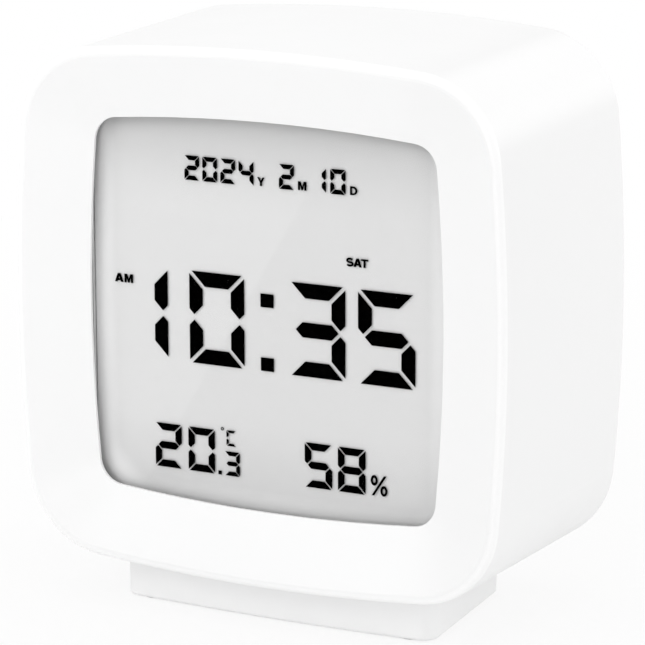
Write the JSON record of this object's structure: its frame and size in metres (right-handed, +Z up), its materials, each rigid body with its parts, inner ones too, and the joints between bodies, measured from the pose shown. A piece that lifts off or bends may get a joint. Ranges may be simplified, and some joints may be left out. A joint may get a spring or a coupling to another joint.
{
  "type": "thermometer hygrometer clock",
  "caption": "Squarish desk clock with a dished bezel around an LCD for time, date, temperature and humidity, on a sprung foot that works the snooze.",
  "frame": {"origin": "on the table, under the middle of the clock's width and depth", "axes": "+Z up, +X to the viewer's right, -Y out of the display"},
  "size_m": [0.0806, 0.0418, 0.0865],
  "materials": {
    "case_plastic": "fine satin white",
    "cover_plastic": "fine spark-textured white",
    "lens": "clear gloss",
    "lcd_glass": "pale grey display ground",
    "inner_plastic": "moulded white",
    "guide_acrylic": "clear acrylic",
    "reflector_film": "white film",
    "led": "clear resin",
    "contact_rubber": "striped elastomer",
    "circuit_board": "green solder mask",
    "screw_steel": "plated",
    "black_resin": "black epoxy",
    "bright_metal": "bright can",
    "socket_plastic": "ivory nylon",
    "ribbon": "flat flexible cable",
    "switch_body": "black nylon",
    "switch_stem": "dark nylon",
    "sensor_body": "pale package",
    "buzzer_body": "black moulding",
    "button_plastic": "satin white",
    "cell_jacket": "plain printed jacket",
    "contact_metal": "nickel plated",
    "pad_rubber": "pale soft rubber",
    "spring_steel": "drawn wire"
  },
  "bodies": {
    "case": {"case_shell": "case_plastic", "rear_cover": "cover_plastic", "display_lens": "lens", "lcd_panel": "lcd_glass", "lcd_holder": "inner_plastic", "light_guide": "guide_acrylic", "reflector_sheet": "reflector_film", "backlight_led": "led", "lcd_contact_strip": "contact_rubber", "main_board": "circuit_board", "main_board_screws": "screw_steel", "controller_blob": "black_resin", "timing_crystal": "bright_metal", "ribbon_sockets": "socket_plastic", "ribbon_cable": "ribbon", "button_board": "circuit_board", "button_board_screws": "screw_steel", "button_switches": "switch_body", "climate_sensor": "sensor_body", "buzzer": "buzzer_body", "snooze_board": "circuit_board", "snooze_board_screws": "screw_steel", "snooze_switch": "switch_body", "upper_cell": "cell_jacket", "lower_cell": "cell_jacket", "battery_contacts": "contact_metal", "battery_springs": "contact_metal", "rear_cover_screws": "screw_steel", "foot_screws": "screw_steel", "foot_springs": "spring_steel"},
    "foot": {"foot_base": "case_plastic", "foot_pads": "pad_rubber", "snooze_switch_stem": "switch_stem"},
    "battery_door": {"battery_door": "cover_plastic"},
    "mode_button": {"mode_button": "button_plastic", "mode_switch_stem": "switch_stem"},
    "up_button": {"up_button": "button_plastic", "up_switch_stem": "switch_stem"},
    "down_button": {"down_button": "button_plastic", "down_switch_stem": "switch_stem"},
    "alarm_button": {"alarm_button": "button_plastic", "alarm_switch_stem": "switch_stem"}
  },
  "joints": [
    {"name": "foot_press", "type": "slide", "parent": "case", "child": "foot", "axis": [0, 0, 1], "range_m": [0, 0.0006], "stiffness_N_per_m": 500, "springref_m": -0.01, "deforming": ["foot_springs"]},
    {"name": "battery_door_hinge", "type": "hinge", "parent": "case", "child": "battery_door", "pos_m": [0, 0.0194, 0.0239], "axis": [-1, 0, 0], "range_deg": [0, 60]},
    {"name": "mode_press", "type": "slide", "parent": "case", "child": "mode_button", "axis": [0, -1, 0], "range_m": [0, 0.0005], "stiffness_N_per_m": 400, "springref_m": -0.004},
    {"name": "up_press", "type": "slide", "parent": "case", "child": "up_button", "axis": [0, -1, 0], "range_m": [0, 0.0005], "stiffness_N_per_m": 400, "springref_m": -0.004},
    {"name": "down_press", "type": "slide", "parent": "case", "child": "down_button", "axis": [0, -1, 0], "range_m": [0, 0.0005], "stiffness_N_per_m": 400, "springref_m": -0.004},
    {"name": "alarm_press", "type": "slide", "parent": "case", "child": "alarm_button", "axis": [0, -1, 0], "range_m": [0, 0.0005], "stiffness_N_per_m": 400, "springref_m": -0.004}
  ]
}
